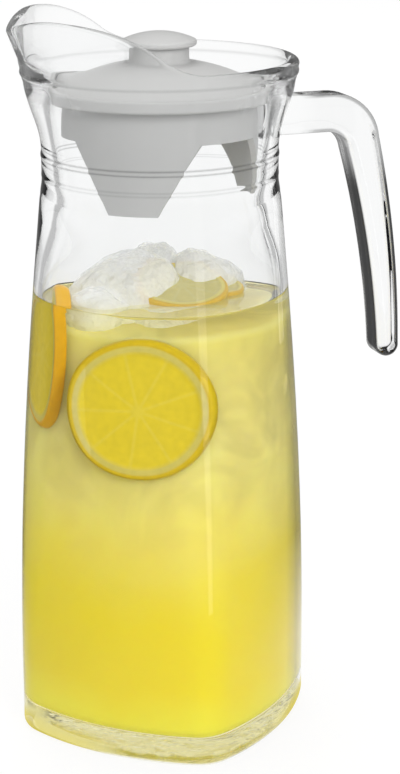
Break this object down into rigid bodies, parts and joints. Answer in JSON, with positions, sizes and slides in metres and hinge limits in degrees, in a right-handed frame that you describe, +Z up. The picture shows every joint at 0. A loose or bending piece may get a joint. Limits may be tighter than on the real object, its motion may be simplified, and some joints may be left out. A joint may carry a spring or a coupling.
{
  "type": "glass pitcher",
  "caption": "Clear glass jug with a rounded-square body, round neck, pouring spout and open hook handle, closed by a plastic lid that lifts out and turns to shut or open the spout.",
  "frame": {"origin": "centre of the base, on the surface that the jug stands on", "axes": "+Z up, +X towards the handle, -X towards the spout; the body's rounded corners lie on X and Y"},
  "size_m": [0.1423, 0.1064, 0.2558],
  "materials": {
    "glass": "clear, polished",
    "lid_plastic": "satin"
  },
  "bodies": {
    "jug": {"jug_body": "glass", "jug_handle": "glass"},
    "lid_collar": {"lid_collar": "lid_plastic"},
    "lid_stopper": {"lid_stopper": "lid_plastic", "knob_cap": "lid_plastic"}
  },
  "joints": [
    {"name": "lid_lift", "type": "slide", "parent": "jug", "child": "lid_collar", "axis": [0, 0, 1], "range_m": [0, 0.08]},
    {"name": "lid_turn", "type": "hinge", "parent": "lid_collar", "child": "lid_stopper", "pos_m": [0, 0, 0.2286], "axis": [0, 0, 1], "continuous": true}
  ]
}
